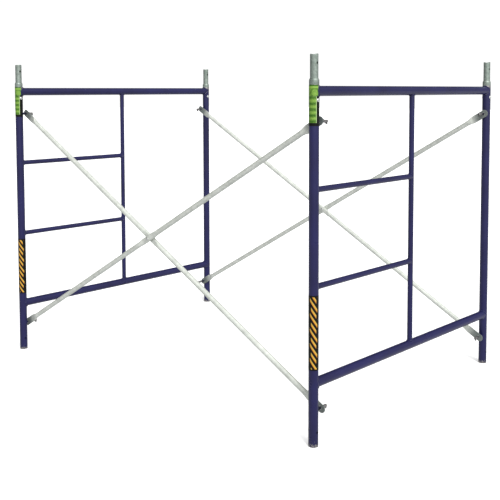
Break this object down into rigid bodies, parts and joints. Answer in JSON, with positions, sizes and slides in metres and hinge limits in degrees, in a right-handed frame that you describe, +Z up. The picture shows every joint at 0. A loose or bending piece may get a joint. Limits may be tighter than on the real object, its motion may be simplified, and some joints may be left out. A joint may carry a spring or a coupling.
{
  "type": "frame scaffold section",
  "caption": "Scaffold section: two welded ladder frames with stacking pins, held one bay apart by crossed tube braces on latched studs.",
  "frame": {"origin": "on the ground, at the middle of the four legs", "axes": "+Z up; X along the bay, from the left frame to the right one; Y across the frames, from the ladder side (-Y) to the open side (+Y)"},
  "size_m": [2.1833, 1.5673, 1.651],
  "materials": {
    "frame_paint": "gloss enamel, dark violet blue, a little dusty",
    "galvanized": "dull zinc",
    "rivet_zinc": "bright zinc plate",
    "latch_zinc": "zinc plate, dulled nearly black",
    "label_green": "printed film",
    "label_dark": "printed film"
  },
  "bodies": {
    "root": {"left_near_leg": "frame_paint", "left_far_leg": "frame_paint", "left_top_bar": "frame_paint", "left_bottom_bar": "frame_paint", "left_center_post": "frame_paint", "left_upper_rung": "frame_paint", "left_lower_rung": "frame_paint", "right_near_leg": "frame_paint", "right_far_leg": "frame_paint", "right_top_bar": "frame_paint", "right_bottom_bar": "frame_paint", "right_center_post": "frame_paint", "right_upper_rung": "frame_paint", "right_lower_rung": "frame_paint", "left_near_upper_stud": "frame_paint", "left_near_lower_stud": "frame_paint", "left_far_upper_stud": "frame_paint", "left_far_lower_stud": "frame_paint", "right_near_upper_stud": "frame_paint", "right_near_lower_stud": "frame_paint", "right_far_upper_stud": "frame_paint", "right_far_lower_stud": "frame_paint", "latch_cross_pins": "latch_zinc", "left_near_coupling_pin": "galvanized", "left_near_collar": "galvanized", "left_far_coupling_pin": "galvanized", "left_far_collar": "galvanized", "right_near_coupling_pin": "galvanized", "right_near_collar": "galvanized", "right_far_coupling_pin": "galvanized", "right_far_collar": "galvanized", "coupling_pin_rivets": "rivet_zinc", "near_rising_brace": "galvanized", "near_falling_brace": "galvanized", "near_brace_rivet": "rivet_zinc", "near_brace_washer": "rivet_zinc", "far_rising_brace": "galvanized", "far_falling_brace": "galvanized", "far_brace_rivet": "rivet_zinc", "far_brace_washer": "rivet_zinc", "left_green_label": "label_green", "left_band_label": "label_dark", "right_green_label": "label_green", "right_band_label": "label_dark"},
    "left_near_upper_latch_body": {"left_near_upper_latch": "latch_zinc"},
    "left_near_lower_latch_body": {"left_near_lower_latch": "latch_zinc"},
    "left_far_upper_latch_body": {"left_far_upper_latch": "latch_zinc"},
    "left_far_lower_latch_body": {"left_far_lower_latch": "latch_zinc"},
    "right_near_upper_latch_body": {"right_near_upper_latch": "latch_zinc"},
    "right_near_lower_latch_body": {"right_near_lower_latch": "latch_zinc"},
    "right_far_upper_latch_body": {"right_far_upper_latch": "latch_zinc"},
    "right_far_lower_latch_body": {"right_far_lower_latch": "latch_zinc"}
  },
  "joints": [
    {"name": "left_near_upper_latch_flip", "type": "hinge", "parent": "root", "child": "left_near_upper_latch_body", "pos_m": [-1.0668, -0.6908, 1.3716], "axis": [1, 0, 0], "range_deg": [0, 30]},
    {"name": "left_near_lower_latch_flip", "type": "hinge", "parent": "root", "child": "left_near_lower_latch_body", "pos_m": [-1.0668, -0.6908, 0.1524], "axis": [1, 0, 0], "range_deg": [0, 30]},
    {"name": "left_far_upper_latch_flip", "type": "hinge", "parent": "root", "child": "left_far_upper_latch_body", "pos_m": [-1.0668, 0.6908, 1.3716], "axis": [-1, 0, 0], "range_deg": [0, 30]},
    {"name": "left_far_lower_latch_flip", "type": "hinge", "parent": "root", "child": "left_far_lower_latch_body", "pos_m": [-1.0668, 0.6908, 0.1524], "axis": [-1, 0, 0], "range_deg": [0, 30]},
    {"name": "right_near_upper_latch_flip", "type": "hinge", "parent": "root", "child": "right_near_upper_latch_body", "pos_m": [1.0668, -0.6908, 1.3716], "axis": [1, 0, 0], "range_deg": [0, 30]},
    {"name": "right_near_lower_latch_flip", "type": "hinge", "parent": "root", "child": "right_near_lower_latch_body", "pos_m": [1.0668, -0.6908, 0.1524], "axis": [1, 0, 0], "range_deg": [0, 30]},
    {"name": "right_far_upper_latch_flip", "type": "hinge", "parent": "root", "child": "right_far_upper_latch_body", "pos_m": [1.0668, 0.6908, 1.3716], "axis": [-1, 0, 0], "range_deg": [0, 30]},
    {"name": "right_far_lower_latch_flip", "type": "hinge", "parent": "root", "child": "right_far_lower_latch_body", "pos_m": [1.0668, 0.6908, 0.1524], "axis": [-1, 0, 0], "range_deg": [0, 30]}
  ]
}
